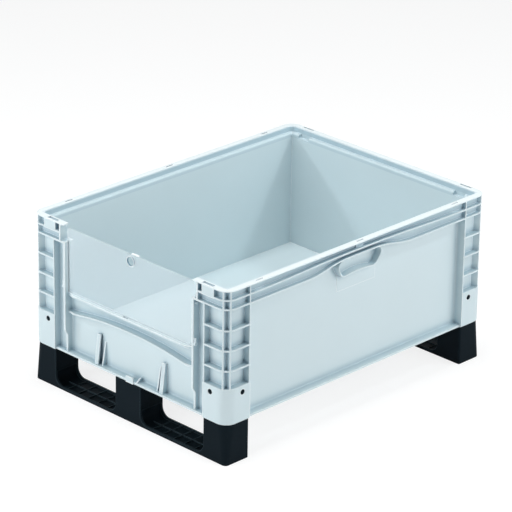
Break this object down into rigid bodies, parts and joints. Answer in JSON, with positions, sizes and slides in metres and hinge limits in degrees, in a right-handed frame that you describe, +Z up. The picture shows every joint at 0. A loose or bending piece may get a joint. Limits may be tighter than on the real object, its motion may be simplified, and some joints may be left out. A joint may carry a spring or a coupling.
{
  "type": "stacking container",
  "caption": "Open-topped stacking container with ribbed corner posts, a picking opening closed by a clear lift-out pane, and skids with fork windows under its short ends.",
  "frame": {"origin": "on the ground under the middle of the footprint", "axes": "+X to the right along the short walls, +Y to the rear along the long walls, +Z up; the picking opening faces -Y"},
  "size_m": [0.6, 0.8, 0.395],
  "materials": {
    "shell_plastic": "fine moulded satin",
    "pane_plastic": "clear, slightly hazy",
    "skid_plastic": "fine moulded satin",
    "pin_plastic": "moulded satin"
  },
  "bodies": {
    "container": {"crate_shell": "shell_plastic", "front_skid": "skid_plastic", "rear_skid": "skid_plastic", "lock_pin_front_left_end": "pin_plastic", "lock_pin_front_left_side": "pin_plastic", "lock_pin_front_right_end": "pin_plastic", "lock_pin_front_right_side": "pin_plastic", "lock_pin_rear_left_end": "pin_plastic", "lock_pin_rear_left_side": "pin_plastic", "lock_pin_rear_right_end": "pin_plastic", "lock_pin_rear_right_side": "pin_plastic"},
    "pane": {"front_pane": "pane_plastic"}
  },
  "joints": [
    {"name": "pane_lift", "type": "slide", "parent": "container", "child": "pane", "axis": [0, 0, 1], "range_m": [0, 0.165]}
  ]
}
